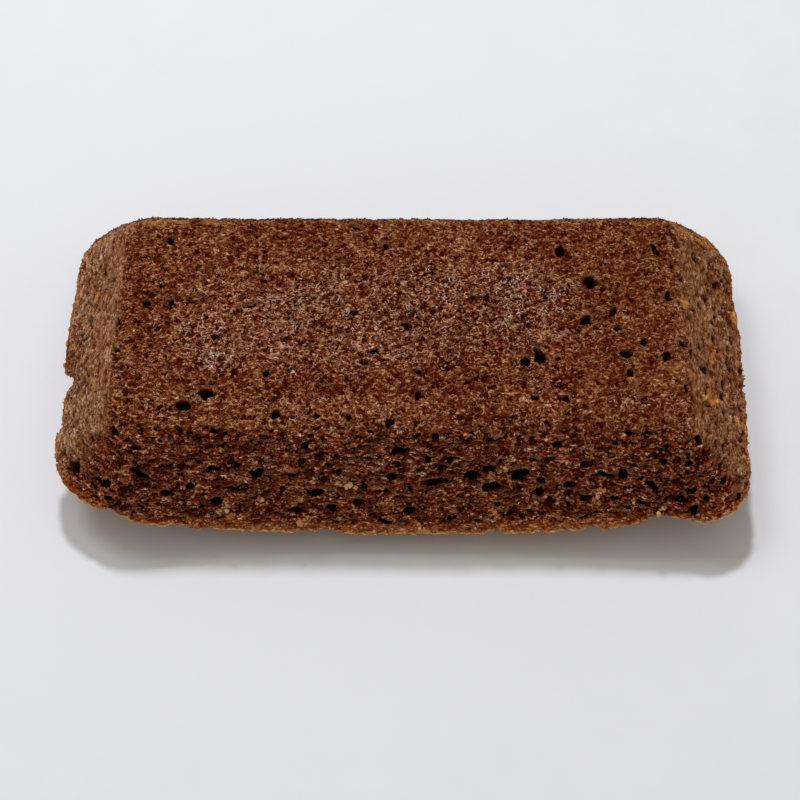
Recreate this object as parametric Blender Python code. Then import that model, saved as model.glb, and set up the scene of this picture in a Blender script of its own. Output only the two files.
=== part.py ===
"""A small bar-shaped chocolate cake, lying the way it was turned out of its mould.

The flat face that baked against the mould's floor is up. Four sides flare outward down to the rim, where
the batter met the mould's lip. Below the rim is the domed crust, on which the cake rests; it lifts the rim,
and the corners most. The cake is one solid. X runs along it, -Y is its front, and Z = 0 is the surface it
lies on.
"""

import math

import bmesh
import bpy

# Driving dimensions, in metres. The corner radii run front right, back right, back left, front left.
RIM_LENGTH = 0.0860
RIM_DEPTH = 0.0474
TOP_LENGTH = 0.0704
TOP_DEPTH = 0.0327
HEIGHT = 0.0150
RIM_CORNER_RADII = (0.0062, 0.0104, 0.0100, 0.0116)
TOP_CORNER_RADIUS = 0.0030
TOP_EDGE_RADIUS = 0.0028
LIP_RADIUS = 0.0006
LIP_DROP = 0.0003

# The rim's height above the surface in the middle of the long sides, and how much higher it is at the ends.
RIM_HEIGHT_MIDDLE = 0.0027
RIM_LIFT_ENDS = 0.0040

# The flat spot that touches the surface, how late the dome above it steepens, and how soon the rim's dents
# fade in it.
REST_LENGTH = 0.0380
REST_DEPTH = 0.0180
DOME_POWER = 2.1
DENT_FADE_POWER = 5

# The most that the baked faces rise and sink.
TOP_UNEVENNESS = 0.00018
SIDE_UNEVENNESS = 0.00022

# Dents in the rim: where (x, y), how far the rim is pushed in, how far it is pushed up, and the dent's width.
RIM_DENTS = (
    (-0.0430, -0.0042, 0.0018, 0.0012, 0.0012),
    (-0.0430, -0.0075, 0.0004, 0.0000, 0.0025),
    (-0.0430, -0.0107, 0.0008, 0.0004, 0.0008),
    (-0.0430, 0.0090, 0.0003, 0.0000, 0.0060),
    (-0.0352, -0.0230, 0.0005, 0.0012, 0.0018),
    (0.0290, -0.0237, 0.0003, 0.0003, 0.0030),
    (0.0335, -0.0237, 0.0008, 0.0008, 0.0017),
    (0.0428, 0.0110, 0.0002, 0.0003, 0.0022),
    (-0.0150, 0.0237, 0.0004, 0.0005, 0.0024),
    (0.0210, 0.0237, 0.0005, 0.0005, 0.0017),
)

# How finely the outline and its rings are drawn.
LONG_SIDE_STEPS = 36
SHORT_SIDE_STEPS = 24
CORNER_STEPS = 9
TOP_RINGS = 6
EDGE_RINGS = 5
SIDE_RINGS = 6
LIP_RINGS = 3
DOME_RINGS = 7

CAKE_COLOUR = (0.125, 0.043, 0.020, 1.0)
CAKE_ROUGHNESS = 0.82


def clear_scene():
    for old in list(bpy.data.objects):
        bpy.data.objects.remove(old, do_unlink=True)


def mix(low, high, share):
    return low + (high - low) * share


def outline(half_length, half_depth, corner_radii):
    """A rounded rectangle, anticlockwise, as (x, y, outward x, outward y).

    It has as many points whatever its size.
    """
    signs = ((1, -1), (1, 1), (-1, 1), (-1, -1))
    centres = [
        (sign_x * (half_length - radius), sign_y * (half_depth - radius))
        for (sign_x, sign_y), radius in zip(signs, corner_radii)
    ]
    points = []
    for turn, (centre, radius) in enumerate(zip(centres, corner_radii)):
        start = math.radians(90 * turn - 90)
        for step in range(CORNER_STEPS):
            angle = start + math.radians(90) * step / CORNER_STEPS
            out_x, out_y = math.cos(angle), math.sin(angle)
            points.append((centre[0] + radius * out_x, centre[1] + radius * out_y, out_x, out_y))
        out_x, out_y = math.cos(start + math.radians(90)), math.sin(start + math.radians(90))
        following = (turn + 1) % 4
        after, after_radius = centres[following], corner_radii[following]
        side_steps = SHORT_SIDE_STEPS if turn % 2 == 0 else LONG_SIDE_STEPS
        for step in range(side_steps):
            share = step / side_steps
            x = mix(centre[0] + radius * out_x, after[0] + after_radius * out_x, share)
            y = mix(centre[1] + radius * out_y, after[1] + after_radius * out_y, share)
            points.append((x, y, out_x, out_y))
    return points


def flared_outline(flare_share):
    """The outline at a share of the flare: 0 is the top's, as if its edge were sharp, and 1 is the rim's."""
    radii = [mix(TOP_CORNER_RADIUS, radius, max(flare_share, -0.15)) for radius in RIM_CORNER_RADII]
    half_length = mix(TOP_LENGTH, RIM_LENGTH, flare_share) / 2
    half_depth = mix(TOP_DEPTH, RIM_DEPTH, flare_share) / 2
    return outline(half_length, half_depth, radii)


def rim_height(x):
    """The rim's height above the surface: lowest in the middle of the long sides, lifted towards the ends."""
    return RIM_HEIGHT_MIDDLE + RIM_LIFT_ENDS * (2 * x / RIM_LENGTH) ** 2


def waves(x, y, phase):
    """A gentle unevenness from -1 to 1 that changes over a centimetre or two."""
    return (
        0.50 * math.sin(210 * x + 1.3 + phase)
        + 0.30 * math.sin(330 * y - 120 * x + 2.1 * phase)
        + 0.20 * math.sin(520 * x + 410 * y + 0.7 + phase)
    )


def top_height(x, y):
    return HEIGHT + TOP_UNEVENNESS * waves(x, y, 0.0)


def rim_dent(x, y):
    """How far a point of the rim is pushed in and pushed up by the dents near it."""
    push_in = 0.0
    push_up = 0.0
    for dent_x, dent_y, depth, rise, width in RIM_DENTS:
        away = math.hypot(x - dent_x, y - dent_y)
        nearness = math.exp(-((away / width) ** 2))
        push_in += depth * nearness
        push_up += rise * nearness
    return push_in, push_up


def side_profile():
    """The rings from the top's edge to the rim, as shares of the flare and of the drop.

    An arc of TOP_EDGE_RADIUS joins the flat top and the flared side.
    """
    flare = (RIM_LENGTH - TOP_LENGTH) / 2
    drop = HEIGHT - RIM_HEIGHT_MIDDLE
    turn = math.atan2(drop, flare)
    tangent = TOP_EDGE_RADIUS * math.tan(turn / 2)
    profile = []
    for ring in range(EDGE_RINGS + 1):
        angle = turn * ring / EDGE_RINGS
        across = TOP_EDGE_RADIUS * math.sin(angle) - tangent
        down = TOP_EDGE_RADIUS * (1 - math.cos(angle))
        profile.append((across / flare, down / drop))
    start = profile[-1]
    for ring in range(1, SIDE_RINGS + 1):
        share = ring / SIDE_RINGS
        profile.append((mix(start[0], 1.0, share), mix(start[1], 1.0, share)))
    return profile


def top_rings(edge_share):
    """Rings of the flat top, from near its middle to where its edge starts to turn down."""
    for ring in range(1, TOP_RINGS + 1):
        share = ring / TOP_RINGS
        points = [(x * share, y * share) for x, y, _, _ in flared_outline(edge_share)]
        yield [(x, y, top_height(x, y)) for x, y in points]


def side_rings(profile):
    """Rings of the rounded edge and the flared side. The rim's dents fade out on the way up the side."""
    rim = flared_outline(1.0)
    for flare_share, drop_share in profile:
        ring = []
        for (x, y, out_x, out_y), (rim_x, rim_y, _, _) in zip(flared_outline(flare_share), rim):
            push_in, push_up = rim_dent(rim_x, rim_y)
            swell = SIDE_UNEVENNESS * waves(rim_y, rim_x, 1.7) * math.sin(math.pi * drop_share)
            shift = swell - push_in * drop_share**3
            low = rim_height(rim_x) + push_up
            ring.append((x + out_x * shift, y + out_y * shift, mix(top_height(x, y), low, drop_share)))
        yield ring


def rim_ring(dent_strength):
    """The rim, with its dents at a share of their full depth."""
    ring = []
    for x, y, out_x, out_y in flared_outline(1.0):
        push_in, push_up = rim_dent(x, y)
        inward = push_in * dent_strength
        ring.append((x - out_x * inward, y - out_y * inward, rim_height(x) + push_up * dent_strength))
    return ring


def lip_ring(angle, dent_strength):
    """One ring of the rim's rounded lip, which turns from the side at angle 0 in under the cake at 90."""
    inward = LIP_RADIUS * (1 - math.cos(angle))
    down = LIP_DROP * math.sin(angle)
    return [
        (x - out_x * inward, y - out_y * inward, z - down)
        for (x, y, z), (_, _, out_x, out_y) in zip(rim_ring(dent_strength), flared_outline(1.0))
    ]


def lip_rings():
    for ring in range(1, LIP_RINGS + 1):
        yield lip_ring(math.radians(90) * ring / LIP_RINGS, 1.0)


def dome_rings():
    """The crust's dome, from the lip down to the flat spot the cake rests on. The dents fade on the way."""
    spot = outline(REST_LENGTH / 2, REST_DEPTH / 2, [0.48 * REST_DEPTH] * 4)
    for ring in range(DOME_RINGS - 1, -1, -1):
        share = ring / DOME_RINGS
        lip = lip_ring(math.radians(90), share**DENT_FADE_POWER)
        yield [
            (mix(flat_x, x, share), mix(flat_y, y, share), z * share**DOME_POWER)
            for (flat_x, flat_y, _, _), (x, y, z) in zip(spot, lip)
        ]


def centred(rings):
    """The rings moved in x and y so that the cake's box is centred on the origin."""
    xs = [x for ring in rings for x, _, _ in ring]
    ys = [y for ring in rings for _, y, _ in ring]
    shift_x = (min(xs) + max(xs)) / 2
    shift_y = (min(ys) + max(ys)) / 2
    return [[(x - shift_x, y - shift_y, z) for x, y, z in ring] for ring in rings]


def loft(name, rings):
    """One closed mesh: a fan over the first ring, strips between rings, and a flat face on the last."""
    shape = bmesh.new()
    rows = [[shape.verts.new(point) for point in ring] for ring in rings]
    middle = shape.verts.new((0.0, 0.0, top_height(0.0, 0.0)))
    for here, after in zip(rows[0], rows[0][1:] + rows[0][:1]):
        shape.faces.new((middle, here, after))
    for upper, lower in zip(rows, rows[1:]):
        for step in range(len(upper)):
            after = (step + 1) % len(upper)
            shape.faces.new((upper[step], lower[step], lower[after], upper[after]))
    shape.faces.new(list(reversed(rows[-1])))
    shape.normal_update()
    mesh = bpy.data.meshes.new(name)
    shape.to_mesh(mesh)
    shape.free()
    mesh.shade_smooth()
    return bpy.data.objects.new(name, mesh)


def cake_material():
    material = bpy.data.materials.new("chocolate_crumb")
    material.use_nodes = True
    shader = material.node_tree.nodes["Principled BSDF"]
    shader.inputs["Base Color"].default_value = CAKE_COLOUR
    shader.inputs["Roughness"].default_value = CAKE_ROUGHNESS
    shader.inputs["Metallic"].default_value = 0.0
    material.diffuse_color = CAKE_COLOUR
    return material


def build_cake():
    profile = side_profile()
    rings = list(top_rings(profile[0][0]))
    rings += list(side_rings(profile[1:]))
    rings += list(lip_rings())
    rings += list(dome_rings())
    cake = loft("cake", centred(rings))
    cake.data.materials.append(cake_material())
    return cake


def main():
    clear_scene()
    collection = bpy.data.collections.new("chocolate_bar_cake")
    bpy.context.scene.collection.children.link(collection)
    collection.objects.link(build_cake())


main()
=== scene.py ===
"""The looks of a small bar-shaped chocolate cake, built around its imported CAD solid.

The visible cake is the CAD solid's own surface, meshed finely and given its relief: crumb, pores, cracks and
a ragged rim. Loose crumbs are pieces of their own. Lengths are in millimetres until a mesh is finished, and
then in metres, as the frame is.
"""

import math
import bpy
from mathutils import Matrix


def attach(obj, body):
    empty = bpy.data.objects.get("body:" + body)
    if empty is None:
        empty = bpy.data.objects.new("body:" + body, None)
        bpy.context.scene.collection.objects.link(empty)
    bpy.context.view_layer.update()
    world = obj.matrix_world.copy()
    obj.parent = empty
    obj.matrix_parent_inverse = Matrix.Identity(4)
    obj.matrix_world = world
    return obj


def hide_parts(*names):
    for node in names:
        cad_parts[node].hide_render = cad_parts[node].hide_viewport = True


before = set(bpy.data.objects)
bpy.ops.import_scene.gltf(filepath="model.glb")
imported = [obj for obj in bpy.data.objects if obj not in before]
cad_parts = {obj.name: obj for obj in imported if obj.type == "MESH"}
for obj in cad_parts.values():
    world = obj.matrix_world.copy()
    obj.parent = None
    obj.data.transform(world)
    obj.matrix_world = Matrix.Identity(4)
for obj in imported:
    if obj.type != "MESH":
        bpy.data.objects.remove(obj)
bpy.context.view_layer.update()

from types import SimpleNamespace

import bpy
import numpy as np
from mathutils import Matrix, Vector
from mathutils.bvhtree import BVHTree

MM = 0.001

# The cake's sizes, as in its CAD solid, in millimetres.
LENGTH = 86.0
DEPTH = 47.4
HEIGHT = 15.0
RIM_HEIGHT_MIDDLE = 2.7
RIM_LIFT_ENDS = 4.0

# The camera, fitted to the photograph's outline of the cake: degrees and millimetres.
VIEW_ANGLE = 22.0
CAMERA_ELEVATION = 55.31
CAMERA_AZIMUTH = 1.44
CAMERA_ROLL = -1.06
CAMERA_DISTANCE = 260.9
CAMERA_RIGHT = -0.16
CAMERA_UP = -6.50
CAMERA_TARGET_HEIGHT = 9.0
PHOTO_SIDE = 800

# The studio: lamps a metre away as (name, azimuth, elevation, width, power), in degrees, metres and watts.
LAMPS = (("key_lamp", 5, 55.5, 0.12, 4.95), ("side_lamp", 46, 55, 0.40, 2.05))
LAMP_COLOUR = (0.925, 0.950, 1.0)
SKY_COLOUR = (1.0, 0.955, 0.815, 1.0)
SKY_STRENGTH = 0.42
FLOOR_HALF = 1.5

# The visible mesh: how fine it is while it is shaped, how many triangles it keeps, and its lowest point.
FINE_SIZE = 0.18
SMOOTHING_ROUNDS = 10
KEPT_TRIANGLES = 197000
UNDERSIDE_TRIANGLES = 30000
LOWEST = 0.01

# A face counts as level when its normal's z is more than this.
LEVEL = 0.9

# The sizes of the crumb's cells: on the top, in the long sides' open crumb, on the ends, and between the
# cracks underneath. Then the sizes of its sheets.
TOP_CELL = 0.85
FINE_CELL = 0.50
LONG_CELL = (1.50, 1.50, 0.62)
SMALL_CELL = (0.85, 0.85, 0.42)
END_CELL = (0.80, 1.15, 0.62)
CRACKED_CELL = 4.2
SHEET = (1.20, 1.20, 0.43)

# How deep or high the relief is.
TOP_CELL_DEPTH = 0.50
FINE_CELL_DEPTH = 0.26
LONG_CELL_DEPTH = 0.34
SMALL_CELL_DEPTH = 0.22
HOLE_DEPTH = 0.40
GAP_DEPTH = 0.38
GAP_LIP_HEIGHT = 0.06
GAP_LIP_THICKNESS = 0.20
CRACK_DEPTH = 0.22
PORE_LIP_HEIGHT = 0.08

# Pores: the least distance between them in their radii, how ragged they are, how far their walls are
# undercut, and how alike two normals are on one face.
PORE_CLEARANCE = 1.15
PORE_RAGGEDNESS = 0.32
PORE_UNDERCUT = 0.16
SAME_FACE = 0.55

# The loose grains on the crumb: how many, their sizes across, their uneven radii, and how far their middles
# stand off the crumb, as a share of their sizes.
GRAIN_COUNT = 3000
GRAIN_SIZES = (0.16, 0.34)
GRAIN_RADII = (0.72, 1.15)
GRAIN_LIFT = 0.18

# Where each half of the surface lies on the unfolded sheet, whose side is 1.
SIDE_SPREAD = 6.8
SHEET_SIDE = LENGTH + 2 * SIDE_SPREAD + 1.0
UNDER_SCALE = 0.78

# Patches that the photograph shows: (x, y, width, height) in its pixels, and how strong the patch is.
OCHRE_SEEN = (
    (555, 240, 30, 12, 0.6), (515, 390, 34, 14, 0.55), (330, 360, 36, 12, 0.5), (229, 318, 14, 10, 0.6),
    (684, 302, 12, 18, 1.1), (731, 317, 15, 12, 1.1), (709, 396, 22, 18, 1.2), (698, 240, 14, 9, 1.1),
    (96, 296, 12, 15, 0.85), (87, 255, 7, 10, 0.85), (430, 300, 16, 10, 0.5), (590, 385, 12, 8, 0.6),
    (386, 330, 14, 8, 0.5), (258, 342, 20, 8, 0.5), (738, 422, 18, 11, 1.1), (706, 320, 8, 8, 0.9),
    (120, 470, 12, 8, 1), (166, 223, 60, 11, 1), (215, 223, 40, 7, 0.9), (330, 222, 30, 5, 0.9),
    (640, 224, 26, 6, 0.9),
)
# The sheen is a painted highlight, the lamp's reflection on the top: there the crumb is greyer, with more
# contrast and more curls, which are paler.
SHEEN_SEEN = (
    (360, 318, 360, 112, 0.45), (216, 360, 44, 26, 1.0), (204, 336, 60, 56, 0.65), (440, 290, 120, 56, 0.60),
    (520, 304, 112, 80, 0.75), (300, 300, 90, 40, 0.60), (225, 404, 230, 16, 0.30), (630, 404, 80, 16, 0.35),
)
SHADE_SEEN = (
    (400, 383, 460, 26, -1.0), (445, 374, 76, 44, -1.0), (630, 320, 90, 160, -0.55),
    (150, 300, 34, 150, -0.35), (681, 320, 12, 150, 0.7), (124, 300, 13, 130, 0.6), (235, 315, 110, 96, 0.45),
    (300, 351, 300, 26, 0.7), (270, 406, 290, 15, 0.6), (590, 406, 120, 13, 0.4),
)

# Chips broken out of the front's rim: where along it, half width and rise, in millimetres.
RIM_CHIPS = (
    (-9.0, 1.5, 0.50), (-11.5, 1.8, 0.25), (11.5, 1.3, 0.35), (23.5, 1.4, 0.45), (31.2, 1.8, 0.85),
    (-27.0, 1.8, 0.30), (3.0, 1.2, 0.25),
)

# Where the visible rim stands a little further out than the model's: x, y, how far, and over what radius.
RIM_SWELLS = ((43.0, 0.0, 0.45, 15.0), (-41.0, -18.5, -0.50, 4.5), (-43.0, 5.0, -0.20, 7.0))

# Pores that the photograph shows clearly: (x, y, width, height) in its pixels, and a tilt in degrees if any.
TOP_PORES_SEEN = (
    (590, 282, 13, 12), (586, 321, 11, 9), (540, 357, 9, 15, 10), (526, 362, 9, 8), (655, 250, 7, 11, 25),
    (560, 251, 8, 8, 30), (474, 298, 6, 8), (486, 297, 7, 7), (667, 296, 8, 8), (627, 354, 8, 8),
    (666, 356, 8, 7), (631, 373, 7, 7), (537, 399, 9, 6), (564, 399, 10, 8), (419, 396, 8, 8),
    (406, 325, 8, 7), (614, 311, 5, 10, -20), (643, 341, 5, 9, -10), (682, 345, 8, 5, -20), (170, 241, 8, 6),
    (147, 305, 7, 7), (171, 304, 5, 11), (206, 394, 15, 8, 5), (184, 405, 13, 9, -15), (276, 415, 10, 9),
    (316, 416, 7, 7), (389, 422, 9, 7), (265, 373, 8, 6), (374, 352, 9, 5), (354, 313, 8, 6),
    (385, 247, 6, 7), (249, 306, 9, 5), (687, 388, 6, 8),
)
FRONT_PORES_SEEN = (
    (77, 468, 7, 12), (139, 472, 18, 8, -30), (106, 484, 13, 7), (116, 430, 10, 6, -20), (306, 445, 10, 8),
    (165, 467, 11, 5), (212, 469, 18, 5, 5), (257, 474, 12, 8), (339, 472, 10, 7), (391, 476, 10, 7),
    (167, 493, 14, 8, 5), (190, 485, 10, 7), (240, 489, 19, 8, 10), (316, 492, 18, 8, 10), (217, 502, 13, 9),
    (297, 511, 17, 7, -10), (331, 507, 12, 7), (357, 501, 12, 6), (365, 487, 9, 7), (408, 510, 9, 10, -30),
    (385, 521, 11, 5), (400, 450, 16, 6, -5), (435, 437, 10, 8, -20), (429, 459, 10, 7), (449, 459, 20, 5, 3),
    (397, 464, 12, 6), (441, 469, 10, 6), (489, 469, 15, 8, -5), (470, 476, 12, 9, 20), (520, 474, 15, 12),
    (439, 482, 27, 6, 15), (494, 488, 21, 9, 5), (541, 479, 9, 7), (570, 484, 16, 5, 5), (584, 465, 8, 8),
    (604, 474, 23, 6, -5), (624, 474, 10, 8), (587, 498, 11, 10), (569, 493, 9, 7), (540, 491, 10, 7),
    (450, 518, 10, 6), (662, 461, 10, 6, 10), (689, 464, 8, 7), (651, 484, 11, 8, -20), (691, 490, 9, 8),
    (707, 499, 6, 10, 15), (695, 510, 8, 8), (679, 499, 10, 6), (705, 372, 7, 9), (725, 416, 7, 12, 15),
)
END_PITS_SEEN = (
    (722, 386, 6, 9), (722, 398, 5, 6), (708, 405, 8, 4), (742, 398, 6, 10), (738, 409, 5, 8),
    (724, 481, 7, 5), (715, 287, 5, 9, 10), (690, 318, 6, 5), (703, 326, 4, 5), (695, 259, 6, 8),
    (728, 340, 5, 9), (737, 372, 4, 8), (97, 260, 4, 7), (90, 304, 4, 6), (86, 341, 5, 5), (119, 322, 5, 9),
    (705, 300, 5, 7), (712, 340, 5, 8), (700, 440, 6, 6), (716, 446, 5, 6),
)

# Golden crumbs that the photograph shows: (x, y, width) in its pixels. Each is a clump of a few grains.
GOLDEN_SEEN = (
    (231, 510, 9), (226, 505, 5), (341, 482, 8), (351, 486, 9), (346, 478, 5), (494, 475, 7), (505, 466, 8),
    (500, 470, 5), (558, 491, 6), (595, 497, 8), (599, 488, 7), (558, 513, 6), (661, 509, 8), (427, 450, 4),
    (409, 475, 4), (365, 513, 5), (243, 487, 5), (183, 487, 4), (262, 500, 4), (524, 492, 4), (478, 447, 4),
    (573, 520, 5), (634, 500, 5), (176, 225, 5), (683, 238, 6), (706, 520, 4), (300, 520, 5), (420, 528, 5),
    (620, 452, 4), (388, 500, 4), (128, 249, 3), (190, 522, 4), (591, 455, 6), (467, 436, 5), (476, 433, 5),
    (493, 510, 8), (475, 526, 6), (458, 479, 5), (743, 459, 7),
)
GOLDEN_CLUMP = (0.72, 0.60, 0.52, 0.45, 0.40, 0.36, 0.32, 0.28)
GOLDEN_SPECKS = 480
GOLDEN_SPECK_SIZES = (0.14, 0.34)
GOLDEN_RADII = (0.45, 1.30)
GOLDEN_LIFT = 0.30
SPECK_LIFT = 0.15

# Curls of crumb: how many, then the arcs' radii, lengths, the angle of their middles and how much it varies,
# and the ridges' half widths and heights.
TOP_CURLS = 4800
TOP_CURL_STYLE = ((0.25, 0.50), (0.45, 1.30), -90, 55, (0.090, 0.160), (0.05, 0.12))
SIDE_LIPS = 2000
SIDE_LIP_STYLE = ((0.50, 1.60), (0.45, 1.20), 90, 14, (0.070, 0.120), (0.06, 0.12))

# Curls that bend more than this over the surface are left out. The others are dropped onto it from near it
# and sunk a little, and some of them are turned round.
STEEPEST_CURL = 0.38
CURL_SINK = 0.05
TIP_SINK = 0.02
TURNED_CURLS = 0.25
DROP_REACH = 2.0

# A curl is a tip, rings of three corners at the stations between the tips, and the other tip.
CURL_STATIONS = 5
CURL_CORNERS = 11
CURL_FACES = (
    (0, 2, 1), (0, 3, 2), (0, 1, 3),
    (1, 2, 5, 4), (2, 3, 6, 5), (3, 1, 4, 6),
    (4, 5, 8, 7), (5, 6, 9, 8), (6, 4, 7, 9),
    (10, 7, 8), (10, 8, 9), (10, 9, 7),
)

# The material's pits are painted dark as shade, and the rings round them pale as painted highlights.
# The material's small pits: how many to a millimetre, their stretch, their radii, and which way is up.
TOP_PITS = (1.25, (0.75, 1.1, 1), (0.08, 0.52), (0, 1, 0))
SIDE_PITS = (1.15, (0.80, 0.80, 1.75), (0.06, 0.60), (0, 0, 1))
PIT_SWIRL = 0.8

# The height of the materials' bumps, in metres.
CRUMB_BUMP = 0.00022
GOLDEN_BUMP = 0.0001

# Colours from dark to light, each with its place from 0 to 1.
CRUMB_COLOURS = (
    (0.0, (0.012, 0.0003, 0.0)),
    (0.16, (0.028, 0.001, 0.0)),
    (0.28, (0.052, 0.004, 0.0002)),
    (0.4, (0.085, 0.0115, 0.0022)),
    (0.5, (0.128, 0.0315, 0.0102)),
    (0.6, (0.195, 0.07, 0.0335)),
    (0.72, (0.335, 0.168, 0.112)),
    (0.86, (0.53, 0.33, 0.27)),
    (1.0, (0.7, 0.54, 0.48)),
)
SKIN_COLOURS = (
    (0.22, (0.08, 0.011, 0.0015)),
    (0.38, (0.13, 0.034, 0.0085)),
    (0.5, (0.205, 0.078, 0.032)),
    (0.62, (0.31, 0.142, 0.072)),
    (0.74, (0.43, 0.23, 0.135)),
    (0.88, (0.54, 0.33, 0.22)),
)
CRUST_COLOURS = (
    (0.15, (0.1, 0.003, 0.0001)),
    (0.35, (0.215, 0.017, 0.0002)),
    (0.5, (0.35, 0.076, 0.006)),
    (0.62, (0.48, 0.15, 0.028)),
    (0.76, (0.66, 0.3, 0.095)),
    (0.9, (0.78, 0.48, 0.25)),
)
OCHRE_COLOURS = ((0.2, (0.145, 0.034, 0.005)), (0.5, (0.3, 0.112, 0.028)), (0.8, (0.59, 0.295, 0.115)))
# The curls are pale crumb, and the lips above the gaps are painted pale as highlights; where the sheen falls,
# both take the sheen colours, a painted highlight.
CURL_COLOURS = ((0.0, (0.13, 0.028, 0.007)), (0.5, (0.24, 0.086, 0.034)), (1.0, (0.42, 0.215, 0.12)))
SHEEN_CURL_COLOURS = ((0.0, (0.17, 0.052, 0.02)), (0.5, (0.34, 0.168, 0.1)), (1.0, (0.74, 0.55, 0.48)))
LIP_HIGHLIGHT_COLOURS = ((0.0, (0.125, 0.036, 0.011)), (0.5, (0.205, 0.083, 0.037)), (1.0, (0.32, 0.165, 0.094)))
SHEEN_LIP_COLOURS = ((0.0, (0.125, 0.036, 0.011)), (1.0, (0.32, 0.165, 0.094)))
GOLDEN_COLOURS = (
    (0.0, (0.33, 0.1, 0.018)),
    (0.4, (0.52, 0.205, 0.068)),
    (0.7, (0.66, 0.335, 0.145)),
    (1.0, (0.74, 0.45, 0.24)),
)
GRAIN_COLOURS = (
    (0.0, (0.05, 0.006, 0.0008)),
    (0.35, (0.11, 0.027, 0.008)),
    (0.65, (0.2, 0.072, 0.03)),
    (0.9, (0.33, 0.16, 0.095)),
    (1.0, (0.43, 0.25, 0.17)),
)
FLOOR_COLOURS = ((0.3, (0.79, 0.798, 0.853)), (0.7, (0.82, 0.828, 0.883)))
# Painted light on the lower floor of a pit on the shaded long sides, and a painted highlight on the lip above
# a pore.
LIT_PIT_FLOOR_COLOUR = (0.24, 0.052, 0.01)
LIP_HIGHLIGHT_COLOUR = (0.25, 0.135, 0.08)
EDGE_COLOUR = (0.95, 0.66, 0.34)
# Gaps and pores painted dark as shade, darkest where deepest.
FRONT_GAP_SHADE_COLOUR = (0.082, 0.008, 0.0012)
RIGHT_GAP_SHADE_COLOUR = (0.092, 0.014, 0.003)
LEFT_GAP_SHADE_COLOUR = (0.15, 0.034, 0.012)
DEEPEST_SHADE_COLOUR = (0.01, 0.0006, 0.0004)


# ---------------- objects and meshes

def linked(name, data):
    """A new object in the scene."""
    made = bpy.data.objects.new(name, data)
    bpy.context.scene.collection.objects.link(made)
    return made


def read(items, field, width=1, kind=np.float32):
    """A field of every item as numbers, in rows when it is wider than 1."""
    values = np.empty(len(items) * width, kind)
    items.foreach_get(field, values)
    return values if width == 1 else values.reshape(-1, width)


def read_points(mesh):
    return read(mesh.vertices, "co", 3).astype(float)


def move_points(mesh, points):
    mesh.vertices.foreach_set("co", points.astype(np.float32).ravel())
    mesh.update()


def store(mesh, name, values):
    """Keeps one number for each point of a mesh, for its material to read."""
    attribute = mesh.attributes.new(name, "FLOAT", "POINT")
    attribute.data.foreach_set("value", values.astype(np.float32))


def surface_tree(points, mesh):
    """The mesh's faces over these points, ready for rays."""
    faces = [tuple(face.vertices) for face in mesh.polygons]
    return BVHTree.FromPolygons([Vector(point) for point in points], faces)


def evaluated(carrier):
    """The carrier's mesh with its modifiers applied. The carrier is removed."""
    graph = bpy.context.evaluated_depsgraph_get()
    mesh = bpy.data.meshes.new_from_object(carrier.evaluated_get(graph))
    bpy.data.objects.remove(carrier)
    return mesh


# ---------------- camera, lights and floor

def camera_axes():
    """The camera's right, up and backward directions, and its place, in millimetres."""
    elevation, azimuth, roll = (math.radians(a) for a in (CAMERA_ELEVATION, CAMERA_AZIMUTH, CAMERA_ROLL))
    flat = math.cos(elevation)
    back = Vector((math.sin(azimuth) * flat, -math.cos(azimuth) * flat, math.sin(elevation)))
    level = Vector((0, 0, 1)).cross(back).normalized()
    rise = back.cross(level)
    right = level * math.cos(roll) + rise * math.sin(roll)
    up = rise * math.cos(roll) - level * math.sin(roll)
    target = Vector((0, 0, CAMERA_TARGET_HEIGHT))
    place = target + back * CAMERA_DISTANCE + right * CAMERA_RIGHT + up * CAMERA_UP
    return right, up, back, place


def add_camera():
    right, up, back, place = camera_axes()
    data = bpy.data.cameras.new("camera")
    data.sensor_width = 36.0
    data.lens = data.sensor_width / 2 / math.tan(math.radians(VIEW_ANGLE / 2))
    data.clip_start = 0.01
    data.clip_end = 20.0
    camera = linked("camera", data)
    turned = Matrix((right, up, back)).transposed().to_4x4()
    camera.matrix_world = Matrix.Translation(place * MM) @ turned
    bpy.context.scene.camera = camera


def add_lights():
    """Soft round lamps aimed at the cake, and a dim sky. Azimuth 0 is behind the cake, and 90 is left."""
    for name, azimuth, elevation, width, power in LAMPS:
        azimuth, elevation = math.radians(azimuth), math.radians(elevation)
        flat = math.cos(elevation)
        towards = Vector((-math.sin(azimuth) * flat, math.cos(azimuth) * flat, math.sin(elevation)))
        data = bpy.data.lights.new(name, "AREA")
        data.shape = "DISK"
        data.size = width
        data.energy = power
        data.color = LAMP_COLOUR
        lamp = linked(name, data)
        lamp.location = towards
        lamp.rotation_euler = towards.to_track_quat("Z", "Y").to_euler()
    world = bpy.data.worlds.new("studio")
    world.use_nodes = True
    background = world.node_tree.nodes["Background"]
    background.inputs["Color"].default_value = SKY_COLOUR
    background.inputs["Strength"].default_value = SKY_STRENGTH
    bpy.context.scene.world = world


def add_floor():
    mesh = bpy.data.meshes.new("floor")
    low, high = -FLOOR_HALF, FLOOR_HALF
    mesh.from_pydata([(low, low, 0), (high, low, 0), (high, high, 0), (low, high, 0)], [], [(0, 1, 2, 3)])
    floor = linked("floor", mesh)
    mesh.materials.append(floor_material())


# ---------------- repeatable noise, in numpy

def hashed(cells, seed):
    """A repeatable number from 0 to 1 for each row of three whole numbers."""
    mixed = cells[:, 0] * 73856093 ^ cells[:, 1] * 19349663 ^ cells[:, 2] * 83492791 ^ (seed * 40503 + 977)
    mixed = (mixed ^ (mixed >> 15)) * 2246822519 & 0xFFFFFFFF
    mixed = (mixed ^ (mixed >> 13)) * 3266489917 & 0xFFFFFFFF
    return ((mixed ^ (mixed >> 16)) & 0xFFFFFF) / float(0x1000000)


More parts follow.
